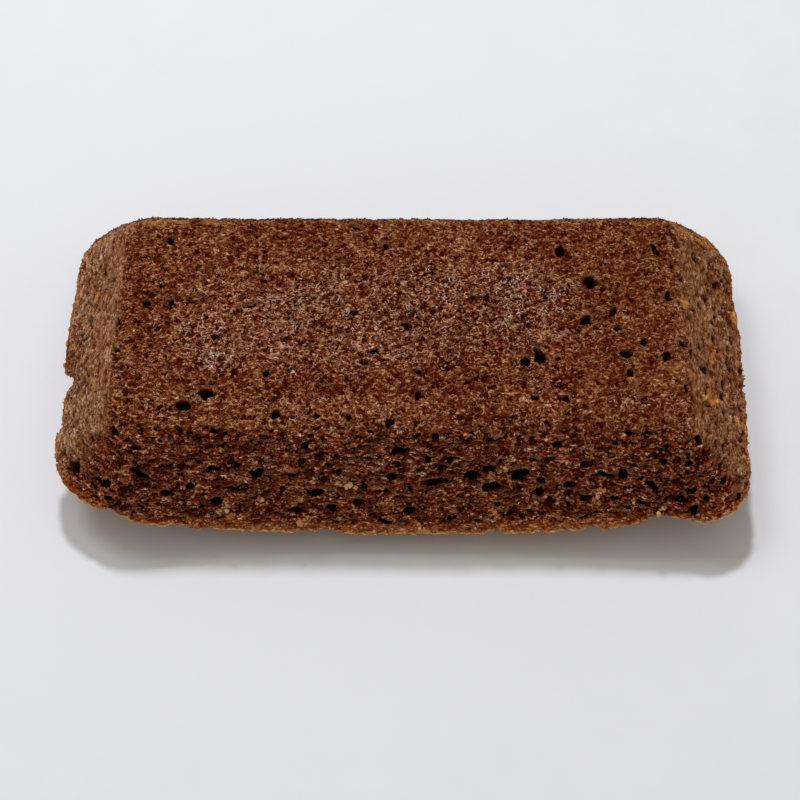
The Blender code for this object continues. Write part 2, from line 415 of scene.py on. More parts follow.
def smooth_noise(points, size, seed):
    """Smooth noise from -1 to 1 whose bumps are about size apart. size may be one number or three."""
    scaled = points / np.asarray(size, float)
    whole = np.floor(scaled).astype(np.int64)
    part = scaled - whole
    part = part * part * part * (part * (part * 6 - 15) + 10)
    total = np.zeros(len(points))
    for corner in np.ndindex(2, 2, 2):
        weight = np.ones(len(points))
        for axis in range(3):
            weight *= part[:, axis] if corner[axis] else 1 - part[:, axis]
        total += weight * hashed(whole + np.array(corner), seed)
    return total * 2 - 1


def layered_noise(points, size, seed, layers=3):
    """Smooth noise with finer and weaker layers added."""
    total = np.zeros(len(points))
    strength = 1.0
    full = 0.0
    for layer in range(layers):
        total += strength * smooth_noise(points, np.asarray(size, float) / 2**layer, seed + 31 * layer)
        full += strength
        strength *= 0.55
    return total / full


def noise_vector(points, size, seeds):
    return np.stack([smooth_noise(points, size, seed) for seed in seeds], axis=1)


def cells(points, size, seed):
    """Irregular cells, as in foam: how far in from its cell's wall a point is, and a number from 0 to 1 that
    all the points of a cell share."""
    scaled = points / np.asarray(size, float)
    whole = np.floor(scaled).astype(np.int64)
    nearest = np.full(len(points), 9.0)
    second = np.full(len(points), 9.0)
    owner = np.zeros(len(points))
    for corner in np.ndindex(3, 3, 3):
        cell = whole + np.array(corner) - 1
        centre = cell + np.stack([hashed(cell, seed + axis) for axis in range(3)], axis=1)
        away = np.sqrt(((scaled - centre) ** 2).sum(axis=1))
        closer = away < nearest
        second = np.where(closer, nearest, np.minimum(second, away))
        owner = np.where(closer, hashed(cell, seed + 7), owner)
        nearest = np.where(closer, away, nearest)
    return second - nearest, owner


def step(low, high, value):
    """0 below low, 1 above high, and smooth between."""
    share = np.clip((value - low) / (high - low), 0, 1)
    return share * share * (3 - 2 * share)


def bell(value, middle, width):
    return np.exp(-(((value - middle) / width) ** 2))


def sunk_cells(points, size, seed, walls, least, power=1):
    """Cells sunk by different amounts: how sunk each point is, how far in it is, and its cell's number."""
    wall, owner = cells(points, size, seed)
    return step(*walls, wall) * (least + (1 - least) * owner**power), wall, owner


def graded(sizes, share):
    """A size between two, a share of the way by ratio."""
    return sizes[0] * (sizes[1] / sizes[0]) ** share


def chosen(random, share, count):
    """That many points at random, more often where the share is high."""
    return random.choice(len(share), size=count, p=share / share.sum(), replace=False)


# ---------------- the cake's visible surface

def fine_copy(node):
    """The node's surface in millimetres as an even, fine mesh, with its points and outward normals."""
    mesh = node.data.copy()
    mesh.transform(Matrix.Scale(1 / MM, 4))
    copy = linked("fine_copy", mesh)
    even = copy.modifiers.new("even", "REMESH")
    even.mode = "VOXEL"
    even.voxel_size = FINE_SIZE
    fine = evaluated(copy)
    points = read_points(fine)
    edges = read(fine.edges, "vertices", 2, np.int64)
    for _ in range(SMOOTHING_ROUNDS):
        points = 0.5 * points + 0.5 * neighbours_mean(points, edges)
    move_points(fine, points)
    return fine, points, read(fine.vertex_normals, "vector", 3).astype(float)


def neighbours_mean(values, edges):
    """For each point, the mean of a vector over the points that share an edge with it."""
    count = np.bincount(edges.ravel(), minlength=len(values))
    mean = np.empty_like(values)
    for column in range(values.shape[1]):
        total = np.bincount(edges[:, 0], values[edges[:, 1], column], len(values))
        total += np.bincount(edges[:, 1], values[edges[:, 0], column], len(values))
        mean[:, column] = total / count
    return mean


def rim_height(x):
    return RIM_HEIGHT_MIDDLE + RIM_LIFT_ENDS * (2 * x / LENGTH) ** 2


def regions(points, normals):
    """How much each point belongs to each part of the cake, how far down it is and how it faces."""
    flat = np.hypot(normals[:, 0], normals[:, 1]) + 1e-6
    across = np.abs(normals[:, 0]) / flat
    rim = rim_height(points[:, 0])
    down = np.clip((HEIGHT - points[:, 2]) / (HEIGHT - rim), 0, 1.2)
    under = step(0.05, 0.25, -normals[:, 2])
    top = step(0.80, 0.95, normals[:, 2])
    side = (1 - top) * (1 - under)
    front_corner = 0.20 * step(-6, -14, points[:, 1])
    end = step(0.45 + front_corner, 0.80 + 0.7 * front_corner, across) * side
    long_side = side - end
    return SimpleNamespace(
        top=top,
        under=under,
        down=down,
        rim=step(0.82, 0.98, down) * (1 - 0.5 * under),
        long_side=long_side,
        front=long_side * (normals[:, 1] < 0),
        back=long_side * (normals[:, 1] >= 0),
        end=end,
        left_end=end * step(-20, 20, -points[:, 0]),
        right_end=end * step(-20, 20, points[:, 0]),
        low_end=end * step(0.05, 0.50, down),
        facing=normals[:, 2] + 0.07 * layered_noise(points, (2.2, 1.6, 1.2), 73, 2),
    )


def level_axes(normal):
    """On a face with this normal: the level direction along it, and the direction up it."""
    if abs(normal.z) > LEVEL:
        along = Vector((1, 0, 0))
    else:
        along = Vector((0, 0, 1)).cross(normal).normalized()
    along = (along - normal * along.dot(normal)).normalized()
    return along, normal.cross(along)


def seen_pores(tree, seen, depth_share, grown=1.0):
    """The listed pores, each where the camera sees it on the cake.

    The camera sees an end face from its side, so there a pore's height in the photograph lies level along the
    face, and its width lies up the face.
    """
    right, up, back, place = camera_axes()
    focal = PHOTO_SIDE / 2 / math.tan(math.radians(VIEW_ANGLE / 2))
    half = PHOTO_SIDE / 2
    pores = []
    for x, y, width, height, *tilt in seen:
        ray = right * ((x - half) / focal) + up * ((half - y) / focal) - back
        centre, normal, _, _ = tree.ray_cast(place, ray.normalized())
        if centre is None:
            continue
        size = (place - centre).dot(back) / focal
        if normal.z < LEVEL and abs(normal.x) > abs(normal.y):
            along, upward = level_axes(normal.normalized())
            half_width = 0.5 * grown * height * size / abs(along.dot(up))
            half_height = 0.5 * grown * width * size / max(abs(upward.dot(right)), 0.4)
        else:
            half_width = 0.5 * grown * width * size
            half_height = 0.5 * grown * height * size / max(abs(normal.dot(back)), 0.5)
        depth = depth_share * math.sqrt(half_width * half_height)
        pores.append((centre, normal, half_width, half_height, math.radians(sum(tilt)), depth))
    return pores


def scatter_pores(points, normals, share, count, sizes, stretch, depth_share, pores, random):
    """Adds pores at random over the points whose share is high, kept clear of the ones already there."""
    made = 0
    for pick in chosen(random, share, count * 3):
        if made == count:
            break
        centre = Vector(points[pick])
        half_height = 0.5 * graded(sizes, random.random() ** 1.7)
        half_width = half_height * random.uniform(*stretch)
        tilt = random.normal(0, 0.15)
        reach = max(half_width, half_height)
        if any((centre - other[0]).length < PORE_CLEARANCE * (reach + max(other[2:4])) for other in pores):
            continue
        depth = depth_share * math.sqrt(half_width * half_height)
        pores.append((centre, Vector(normals[pick]), half_width, half_height, tilt, depth))
        made += 1


def every_pore(tree, points, normals, part):
    """The pores that the photograph shows, and smaller ones at random between them."""
    random = np.random.default_rng(7)
    pores = seen_pores(tree, TOP_PORES_SEEN, 1.5, 1.15) + seen_pores(tree, FRONT_PORES_SEEN, 1.5, 1.08)
    pores += seen_pores(tree, END_PITS_SEEN, 1.0, 1.25)
    upper_front = part.front * step(0.90, 0.78, part.down)
    end = (part.low_end + 0.25 * part.end + 0.35 * part.right_end) * step(0.96, 0.88, part.down)
    for share, count, sizes, stretch, depth_share in (
        (part.top, 90, (0.35, 0.8), (0.8, 1.5), 1.2),
        (part.top, 210, (0.24, 0.55), (0.8, 1.6), 1.0),
        (upper_front, 330, (0.28, 0.62), (1.3, 2.8), 1.5),
        (part.back, 200, (0.4, 1.3), (1.2, 2.6), 1.5),
        (end, 230, (0.35, 1.1), (0.9, 1.9), 0.70),
        (part.under, 70, (0.4, 1.2), (0.8, 1.4), 0.8),
    ):
        scatter_pores(points, normals, share, count, sizes, stretch, depth_share, pores, random)
    return pores


def press_pores(points, normals, pores, ragged, moved, hollow, lip):
    """Opens each pore: its floor sinks, its wall is undercut, and a thin lip stands up on its upper edge."""
    warped = points + PORE_RAGGEDNESS * ragged
    for centre, normal, half_width, half_height, tilt, depth in pores:
        reach = 2.0 * max(half_width, half_height)
        near = np.flatnonzero((np.abs(points - np.array(centre)) < reach).all(axis=1))
        if not len(near):
            continue
        normal = normal.normalized()
        along, upward = level_axes(normal)
        turned = along * math.cos(tilt) + upward * math.sin(tilt)
        raised = upward * math.cos(tilt) - along * math.sin(tilt)
        normal = np.array(normal)
        offset = warped[near] - np.array(centre)
        across = offset @ np.array(turned) / half_width
        rise = offset @ np.array(raised) / half_height
        away = np.hypot(across, rise)
        same_face = normals[near] @ normal > SAME_FACE
        inside = np.clip(1 - away, 0, 1) * same_face
        sunk = step(0.0, 0.40, inside)
        wall = np.sin(np.pi * np.clip(inside / 0.6, 0, 1))
        outward = offset - np.outer(offset @ normal, normal)
        outward /= np.maximum(np.linalg.norm(outward, axis=1), 1e-6)[:, None]
        push = PORE_UNDERCUT * min(half_width, half_height) * wall
        moved[near] += outward * push[:, None] - np.outer(sunk * depth, normal)
        # The hollow share is painted dark as shade, and the lip on the upper edge pale as a painted
        # highlight.
        hollow[near] = np.maximum(hollow[near], step(0.0, 0.25, inside) * min(1.0, depth / 0.5))
        edge = bell(away, 1.12, 0.16) * np.clip(0.25 + rise, 0, 1) * same_face
        lip[near] = np.maximum(lip[near], edge)


def between_sheets(points, ragged):
    """The gaps between the thin wavy sheets of crumb that the long sides show: 1 in a gap and 0 outside."""
    wavy = points + 0.22 * ragged
    wavy[:, 2] += 0.6 * smooth_noise(points, 4.5, 55) + 0.3 * smooth_noise(points, 1.5, 56)
    sheets = layered_noise(wavy, SHEET, 51, 3) + 0.03 * smooth_noise(points, 6.0, 57)
    return step(0.32, 0.42, sheets)


def patch_share(tree, points, seen, ragged=0.0):
    """How much each point lies in the listed patches, which fade towards their edges."""
    share = np.zeros(len(points))
    for *place, strength in seen:
        for centre, normal, half_width, half_height, *_ in seen_pores(tree, [place], 1.0):
            along, upward = level_axes(normal.normalized())
            offset = points - np.array(centre)
            away = np.hypot(offset @ np.array(along) / half_width, offset @ np.array(upward) / half_height)
            within = strength * step(1.35, 0.45, away + ragged) * (np.abs(offset @ np.array(normal)) < 1.5)
            share = np.where(np.abs(within) > np.abs(share), within, share)
    return share


def rim_moves(points, down):
    """How far each point moves, in three directions, for the chips and the swells of the rim."""
    moved = np.zeros_like(points)
    for x, half_width, rise in RIM_CHIPS:
        near = step(half_width, 0.5 * half_width, np.abs(points[:, 0] - x)) * (points[:, 1] < 0)
        low = near * bell(points[:, 2], rim_height(x), 1.0) * step(0.55, 0.9, -points[:, 1] / (DEPTH / 2))
        moved[:, 2] += rise * low
        moved[:, 1] += 0.5 * rise * low
    for x, y, amount, radius in RIM_SWELLS:
        away = np.hypot(points[:, 0] - x, points[:, 1] - y)
        moved[:, 0] += amount * bell(away, 0, radius) * step(0.1, 0.9, down)
    return moved


def crumb_relief(points, part, swirl):
    """How high each point stands, and how hollow, ridged and lipped the crumb is there."""
    open_crumb = part.long_side * step(0.90, 0.70, part.facing)
    inner = 1 - 0.8 * part.rim
    layers = (open_crumb + 0.35 * part.low_end) * inner
    lumps = layered_noise(points, 0.55, 45, 2)
    height = 0.08 * layered_noise(points, 8.0, 11, 2)

    # The top: a worn foam of small cells, shallow but for a few.
    sunk, _, _ = sunk_cells(points + 0.22 * swirl, TOP_CELL, 21, (0.04, 0.42), 0.15, 2)
    fine_sunk, _, fine_owner = sunk_cells(points + 0.12 * swirl, FINE_CELL, 25, (0.05, 0.45), 0.2)
    quiet_top = part.top * (0.55 + 0.45 * np.maximum(step(9, 14, points[:, 1]), step(18, 28, points[:, 0])))
    foam = part.top - 0.30 * quiet_top
    height -= foam * (TOP_CELL_DEPTH * sunk + FINE_CELL_DEPTH * fine_sunk - 0.28 - 0.16 * lumps)

    # The long sides: a more open crumb, in thin wavy sheets with ragged gaps between them.
    warped = points + 0.30 * swirl
    long_sunk, long_wall, long_owner = sunk_cells(warped, LONG_CELL, 31, (0.03, 0.40), 0.15, 2)
    small_sunk, _, _ = sunk_cells(points + 0.16 * swirl, SMALL_CELL, 35, (0.04, 0.45), 0.2)
    height -= layers * (LONG_CELL_DEPTH * long_sunk + SMALL_CELL_DEPTH * small_sunk - 0.17 - 0.10 * lumps)
    gap = between_sheets(points, swirl) * layers
    gap_below = between_sheets(points - np.array([0, 0, GAP_LIP_THICKNESS]), swirl) * layers
    gap_lip = gap_below * (1 - gap)
    height -= GAP_DEPTH * gap - GAP_LIP_HEIGHT * gap_lip
    hole = step(0.86, 0.92, long_owner) * step(0.12, 0.34, long_wall) * open_crumb * inner
    height -= HOLE_DEPTH * hole

    # The ends' smoother skin: fine creases that run level along it.
    streaks = layered_noise(points, (0.55, 1.50, 0.45), 61, 3)
    end_sunk, _, _ = sunk_cells(points + 0.22 * swirl, END_CELL, 63, (0.04, 0.42), 0.1, 3)
    height += part.end * (0.10 * streaks - 0.07 * small_sunk + 0.05 + 0.08 * lumps)
    height -= (0.06 * part.end + 0.20 * part.right_end + 0.10 * part.low_end) * end_sunk

    # The crust: a ragged rim, blisters and fine cracks underneath.
    height += 0.22 * part.rim * layered_noise(points, 1.3, 81, 3)
    height += (part.rim + 0.5 * part.under) * (0.08 - 0.16 * fine_sunk + 0.10 * lumps)
    height += 0.20 * part.under * layered_noise(points, 3.2, 91, 3)
    crack_wall, _ = cells(points + 1.2 * swirl, CRACKED_CELL, 95)
    cracks = step(0.14, 0.02, crack_wall) * part.under
    height -= CRACK_DEPTH * cracks

    # In the material, ridge paints sunk crumb darker and raised crumb paler, as painted shade and highlight,
    # and hollow paints gaps, holes and cracks dark as shade.
    ridge = foam * (0.45 - 0.9 * sunk - 0.7 * fine_sunk + 0.4 * lumps)
    ridge += open_crumb * (0.38 - 0.8 * long_sunk - 0.6 * small_sunk)
    ridge += part.end * (0.30 + 0.8 * streaks - 0.6 * small_sunk - 1.0 * end_sunk + 0.5 * lumps)
    ridge += (part.rim + part.under) * (0.2 - 0.6 * fine_sunk)
    hollow = np.clip(np.maximum(0.45 * hole, 0.55 * gap) + 0.4 * cracks, 0, 1)
    return SimpleNamespace(
        height=height,
        hollow=hollow,
        ridge=ridge,
        lip=0.8 * gap_lip,
        tint=fine_owner,
        lumps=lumps,
        open_crumb=open_crumb,
        quiet_top=quiet_top,
    )


def shape_cake(node):
    """The visible cake: fine points moved by every kind of relief, and the shares that its material reads."""
    fine, points, normals = fine_copy(node)
    part = regions(points, normals)
    tree = surface_tree(points, fine)
    swirl = noise_vector(points, 0.55, (1, 2, 3))
    crumb = crumb_relief(points, part, swirl)
    hollow, lip = crumb.hollow, crumb.lip
    moved = normals * crumb.height[:, None]
    moved += rim_moves(points, part.down)
    ragged = swirl + 0.8 * noise_vector(points, 1.3, (4, 5, 6))
    press_pores(points, normals, every_pore(tree, points, normals, part), ragged, moved, hollow, lip)
    hollow[:] = np.minimum(hollow, 1 - 0.58 * part.end - 0.09 * part.left_end - 0.34 * part.back)
    moved += normals * (PORE_LIP_HEIGHT * lip * crumb.open_crumb)[:, None]
    shaped = points + moved
    shaped[:, 2] = np.maximum(shaped[:, 2], 2 * LOWEST)

    back_edge = step(0.06, 0.25, normals[:, 1]) * step(0.45, 0.70, normals[:, 2])
    back_edge *= step(-0.35, 0.35, smooth_noise(points, 4.0, 75))
    # The sheen share marks where the painted highlight of the lamp's reflection lies on the top.
    sheen = patch_share(tree, points, SHEEN_SEEN, 0.25 * layered_noise(points, 2.5, 71, 2))
    skinned = np.maximum(part.end * step(0.75, 0.20, part.down), part.rim)
    skinned = np.maximum(skinned, 0.8 * crumb.quiet_top)
    shares = {
        "hollow": hollow,
        "lip": lip,
        "ridge": crumb.ridge,
        "tint": crumb.tint,
        "ochre": np.maximum(patch_share(tree, points, OCHRE_SEEN), 0.60 * back_edge),
        "sheen": part.top * sheen,
        "shade": part.top * patch_share(tree, points, SHADE_SEEN, 0.15 * crumb.lumps),
        "end": part.end,
        "pale": part.left_end,
        "calm": 1 - 0.6 * skinned,
        # front is both long sides and lit the back of them; the material paints them as shaded and lit copies
        # of the crumb.
        "front": part.long_side * step(0.91, 0.78, part.facing),
        "steep": part.long_side * step(0.74, 0.60, part.facing),
        "lit": part.back * step(0.91, 0.78, part.facing),
        "rim": part.rim,
        "edge": part.rim * bell(normals[:, 2], -0.10, 0.38),
        "under": part.under,
    }
    return fine, points, normals, shaped, shares, part


def kept_mesh(fine, points, normals, shaped, shares, part):
    """The shaped surface cut down to the triangles it may have, in metres, with its shares and unfolding."""
    move_points(fine, shaped)
    for name, values in shares.items():
        store(fine, name, values)
    attribute = fine.attributes.new("unfolded", "FLOAT_VECTOR", "POINT")
    attribute.data.foreach_set("vector", unfolded(points, normals, part).astype(np.float32).ravel())
    fine.update()
    carrier = linked("carrier", fine)
    quiet = carrier.vertex_groups.new(name="quiet")
    below = np.flatnonzero(part.under > 0.9)
    quiet.add(below.tolist(), 1.0, "REPLACE")
    all_triangles = 2 * len(fine.polygons)
    after_first = all_triangles - 2 * len(below) + UNDERSIDE_TRIANGLES
    first = carrier.modifiers.new("underside", "DECIMATE")
    first.vertex_group = "quiet"
    first.vertex_group_factor = 100.0
    first.ratio = after_first / all_triangles
    second = carrier.modifiers.new("everywhere", "DECIMATE")
    second.ratio = KEPT_TRIANGLES / after_first
    mesh = evaluated(carrier)
    kept = read_points(mesh)
    kept[:, 2] = np.maximum(kept[:, 2], LOWEST)
    move_points(mesh, kept)
    mesh.transform(Matrix.Scale(MM, 4))
    return mesh


def unfolded(points, normals, part):
    """Each point's x and y on a flat sheet that has the sides spread out, and its normal's z."""
    flat = np.hypot(normals[:, 0], normals[:, 1]) + 1e-6
    spread = SIDE_SPREAD * np.clip(part.down, 0, 1) * np.minimum(flat / 0.5, 1)
    x = points[:, 0] + normals[:, 0] / flat * spread
    y = points[:, 1] + normals[:, 1] / flat * spread
    return np.stack([x, y, normals[:, 2]], axis=1)


def lay_out(mesh):
    """A UV map of the sheet: the top with its four sides spread out above, and the underside below."""
    flat = read(mesh.attributes["unfolded"].data, "vector", 3)
    base = read_points(mesh)
    corners = read(mesh.loops, "vertex_index", kind=np.int64)
    totals = read(mesh.polygons, "loop_total", kind=np.int64)
    face_of = np.repeat(np.arange(len(totals)), totals)
    tilt = np.bincount(face_of, flat[corners, 2]) / totals
    below = (tilt < 0)[face_of]
    half_depth = DEPTH / 2 + SIDE_SPREAD
    u = flat[corners, 0] / SHEET_SIDE + 0.5
    v = (flat[corners, 1] + half_depth + 0.5) / SHEET_SIDE
    under_u = base[corners, 0] / MM * UNDER_SCALE / SHEET_SIDE + 0.5
    under_v = 1 - (base[corners, 1] / MM + DEPTH / 2 + 0.6) * UNDER_SCALE / SHEET_SIDE
    uv = np.stack([np.where(below, under_u, u), np.where(below, under_v, v)], axis=1)
    mesh.uv_layers.new(name="OFBake").data.foreach_set("uv", uv.astype(np.float32).ravel())


# ---------------- materials

class Nodes:
    """A short way to write a material's nodes: each call makes one and returns its first output."""

    def __init__(self, name):
        self.material = bpy.data.materials.new(name)
        self.material.use_nodes = True
        self.tree = self.material.node_tree
        self.shader = self.tree.nodes["Principled BSDF"]

    def add(self, kind, inputs, output=0, **settings):
        node = self.tree.nodes.new("ShaderNode" + kind)
        for name, value in settings.items():
            setattr(node, name, value)
        for name, value in inputs.items():
            self.connect(node.inputs[name], value)
        return node.outputs[output]

    def connect(self, socket, value):
        if isinstance(value, bpy.types.NodeSocket):
            self.tree.links.new(value, socket)
        elif isinstance(value, tuple) and socket.type == "RGBA":
            socket.default_value = (*value, 1.0)
        else:
            socket.default_value = value

    def share(self, name):
        return self.add("Attribute", {}, "Fac", attribute_name=name)

    def vector(self, operation, first, second, output=0):
        return self.add("VectorMath", {0: first, 1: second}, output, operation=operation)

    def place(self, stretch=(1, 1, 1)):
        """The point on the object in millimetres, so that a noise's Scale is in bumps for each millimetre."""
        return self.vector("MULTIPLY", self.add("TexCoord", {}, "Object"), tuple(s / MM for s in stretch))

    def noise(self, place, scale, detail, roughness=0.5, distortion=0.0, output="Fac"):
        """Noise at a place, or at the point on the object stretched three ways."""
        if isinstance(place, tuple):
            place = self.place(place)
        inputs = {"Vector": place, "Scale": scale, "Detail": detail, "Roughness": roughness}
        return self.add("TexNoise", {**inputs, "Distortion": distortion}, output)

    def pits(self, place, swirl, scale, stretch, radii, upward):
        """Small ragged pits, one to a cell of about 1/scale mm: how deep in a pit a point is, how much it is
        on the ring round one, and how far up its cell it is. upward is the direction that is up."""
        shift = self.vector("MULTIPLY", swirl, tuple(PIT_SWIRL * s for s in stretch))
        warped = self.vector("ADD", self.vector("MULTIPLY", place, stretch), shift)
        cell = self.add("TexVoronoi", {"Vector": warped, "Scale": scale}).node
        owner = self.add("SeparateColor", {0: cell.outputs["Color"]})
        inside = self.math("SUBTRACT", self.between(owner, 0.25, 1.0, *radii), cell.outputs["Distance"])
        ring = self.times(self.between(inside, -0.50, -0.32), self.between(inside, -0.02, -0.14))
        offset = self.vector("SUBTRACT", warped, cell.outputs["Position"])
        rise = self.times(self.vector("DOT_PRODUCT", offset, upward, "Value"), scale)
        return self.between(inside, -0.06, 0.10), ring, self.between(rise, -0.25, 0.25)

    def math(self, operation, first, second=0.0):
        return self.add("Math", {0: first, 1: second}, operation=operation)

    def times(self, first, second):
        return self.math("MULTIPLY", first, second)

    def plus(self, base, share, amount):
        """base + share * amount."""
        return self.add("Math", {0: share, 1: amount, 2: base}, operation="MULTIPLY_ADD")

    def centred(self, value):
        """value as an amount above or below 0.5."""
        return self.math("SUBTRACT", value, 0.5)

    def between(self, value, low, high, to_low=0.0, to_high=1.0):
        """value moved smoothly from low..high to to_low..to_high, and held at the ends."""
        inputs = {"Value": value, "From Min": low, "From Max": high, "To Min": to_low, "To Max": to_high}
        return self.add("MapRange", inputs, interpolation_type="SMOOTHSTEP")

    def ramp(self, value, stops):
        colours = self.add("ValToRGB", {"Fac": value})
        elements = colours.node.color_ramp.elements
        while len(elements) < len(stops):
            elements.new(0.5)
        for element, (position, colour) in zip(elements, stops):
            element.position = position
            element.color = (*colour, 1.0)
        return colours

    def mix(self, share, first, second, blend="MIX"):
        return self.add("Mix", {0: share, 6: first, 7: second}, 2, data_type="RGBA", blend_type=blend)

    def tinted(self, colour, tint):
        return self.mix(1.0, colour, tint, "MULTIPLY")

    def mix_number(self, share, first, second):
        return self.add("Mix", {0: share, 2: first, 3: second})

    def bump(self, height, distance):
        return self.add("Bump", {"Height": height, "Distance": distance, "Strength": 1.0})

    def finished(self, colour, roughness, specular, normal=None):
        """The material, with its shader set."""
        self.connect(self.shader.inputs["Base Color"], colour)
        self.connect(self.shader.inputs["Roughness"], roughness)
        if normal is not None:
            self.connect(self.shader.inputs["Normal"], normal)
        self.shader.inputs["Specular IOR Level"].default_value = specular
        return self.material


def floor_material():
    nodes = Nodes("pale_table")
    mottle = nodes.noise((1, 1, 1), 0.12, 3.0)
    roughness = nodes.between(mottle, 0.3, 0.7, 0.50, 0.60)
    return nodes.finished(nodes.ramp(mottle, FLOOR_COLOURS), roughness, 0.25)


def flecked_material(name, flecks, contrast, colours, roughness, specular, with_sheen=None, bump=None):
    """Small pieces of crumb, each with its own tint and flecks on it. flecks is the noise's scale, detail and
    roughness, and with_sheen has the colours where the sheen, a painted highlight, falls on the piece."""
    nodes = Nodes(name)
    fleck = nodes.noise((1, 1, 1), *flecks)
    tone = nodes.plus(nodes.share("tint"), nodes.centred(fleck), contrast)
    colour = nodes.ramp(tone, colours)
    if with_sheen:
        colour = nodes.mix(nodes.share("sheen"), colour, nodes.ramp(tone, with_sheen))
    normal = nodes.bump(fleck, bump) if bump else None
    return nodes.finished(colour, nodes.between(fleck, 0.35, 0.65, *roughness), specular, normal)


def crumb_grain(nodes, s):
    """Noise of several sizes: round on the top, in layers on the long sides and in streaks on the ends."""
    s.place = nodes.place()
    s.side = nodes.math("MAXIMUM", s.front, s.end)
    s.round_grain = nodes.noise((0.90, 1.1, 1.1), 1.9, 2.0, 0.6, 0.4)
    layered_grain = nodes.noise((0.5, 0.5, 1.4), 2.0, 3.0, 0.55, 0.5)
    streaked_grain = nodes.noise((1.3, 0.6, 1.5), 1.9, 3.0, 0.6, 0.5)
    s.grain = nodes.mix_number(s.end, nodes.mix_number(s.front, s.round_grain, layered_grain), streaked_grain)
    level_specks = nodes.noise((0.70, 0.95, 1.20), 4.0, 1.0, 0.6, 0.3)
    end_specks = nodes.noise((1.0, 0.50, 1.0), 4.0, 1.0, 0.6, 0.3)
    s.fine_grain = nodes.mix_number(s.end, level_specks, end_specks)
    s.broken = nodes.between(s.grain, 0.44, 0.56, 0.10, 1.0)


def crumb_pits(nodes, s):
    """Pits painted dark as shade, with paler rings as painted highlights. On the top the near side of a ring
    catches the light; on the long sides, the lip above a pit does. There the pit is painted darkest under
    the lip, and painted light falls on its lower floor."""
    swirl = nodes.vector("SUBTRACT", nodes.noise(s.place, 2.2, 1.0, output="Color"), (0.5, 0.5, 0.5))
    top_pit, top_ring_highlight, top_rise = nodes.pits(s.place, swirl, *TOP_PITS)
    side_pit, side_ring_highlight, side_rise = nodes.pits(s.place, swirl, *SIDE_PITS)
    top_ring_highlight = nodes.times(top_ring_highlight, nodes.between(top_rise, 0.0, 1.0, 1.0, 0.35))
    side_ring_highlight = nodes.times(side_ring_highlight, nodes.between(side_rise, 0.0, 1.0, 0.10, 1.0))
    side_pit_shade = nodes.times(side_pit, nodes.between(side_rise, 0.0, 1.0, 0.35, 1.0))
    s.pit = nodes.times(nodes.mix_number(s.side, top_pit, side_pit_shade), s.calm)
    s.ring = nodes.times(nodes.times(nodes.mix_number(s.side, top_ring_highlight, side_ring_highlight), s.broken), s.calm)
    # Painted light on the lower floor of the pits on the steep, shaded long sides, less on the lit back.
    scooped = nodes.times(side_pit, nodes.between(side_rise, 0.1, 0.7, 0.65, 0.0))
    s.scooped = nodes.times(scooped, nodes.plus(nodes.share("steep"), s.lit, -0.7))


def crumb_tone(nodes, s):
    """How light the crumb is, from 0 to 1: its grain, flakes, pits, rings and ridges put together."""
    top_flake = nodes.noise((0.90, 1.1, 1.0), 1.35, 2.0, 0.55, 0.6)
    flake = nodes.mix_number(s.side, top_flake, nodes.noise((0.55, 0.55, 1.5), 1.3, 2.0, 0.55, 0.6))
    off_edge = nodes.math("ABSOLUTE", nodes.centred(flake))
    edge_reach = nodes.between(s.front, 0.0, 1.0, 0.075, 0.055)
    flake_edge_highlight = nodes.times(nodes.between(off_edge, 0.015, edge_reach, 1.0, 0.0), s.broken)
    shade_below_flake = nodes.times(nodes.between(flake, 0.475, 0.445), nodes.between(flake, 0.33, 0.40))
    flaky = nodes.plus(nodes.plus(nodes.plus(0.80, s.front, 0.30), s.sheen, 0.35), s.end, -0.50)
    fine_gain = nodes.plus(nodes.between(s.end, 0.0, 1.0, 0.55, 0.50), s.sheen, 0.85)
    fine_gain = nodes.plus(fine_gain, s.front, 0.42)
    grain_gain = nodes.plus(nodes.between(s.calm, 0.52, 0.75, 0.58, 0.74), s.front, 0.08)
    grain_gain = nodes.plus(grain_gain, s.sheen, 0.55)
    coarse = nodes.plus(0.0, nodes.centred(nodes.noise(s.place, 0.40, 3.0, 0.6)), 0.25)
    coarse = nodes.plus(coarse, nodes.centred(nodes.noise(s.place, 0.11, 2.0, 0.5)), 0.20)
    # Painted light and shade in the tone: pits, sunk crumb and the low sides of flakes darker as shade, and
    # rings, flake edges and ridges paler as highlights.
    tone = 0.480
    for share, amount in (
        (nodes.centred(s.grain), grain_gain),
        (nodes.centred(s.fine_grain), fine_gain),
        (coarse, nodes.plus(1.0, s.front, -0.85)),
        (flake_edge_highlight, nodes.times(flaky, 0.16)),
        (shade_below_flake, nodes.times(flaky, -0.11)),
        (s.shade, 0.07),
        (s.front, -0.03),
        (s.pit, nodes.plus(-0.34, s.front, -0.24)),
        (s.ring, nodes.plus(0.18, s.front, -0.03)),
        (s.ridge, 0.16),
        (nodes.centred(s.tint), 0.06),
    ):
        tone = nodes.plus(tone, share, amount)

    # The lightest flecks of the front are held back, and the back, which is lit straight, is painted calmer.
    bright = nodes.times(nodes.math("MAXIMUM", nodes.math("SUBTRACT", tone, 0.56), 0.0), s.front)
    tone = nodes.plus(tone, bright, -0.10)
    s.tone = nodes.mix_number(s.lit, tone, nodes.plus(0.190, tone, 0.62))


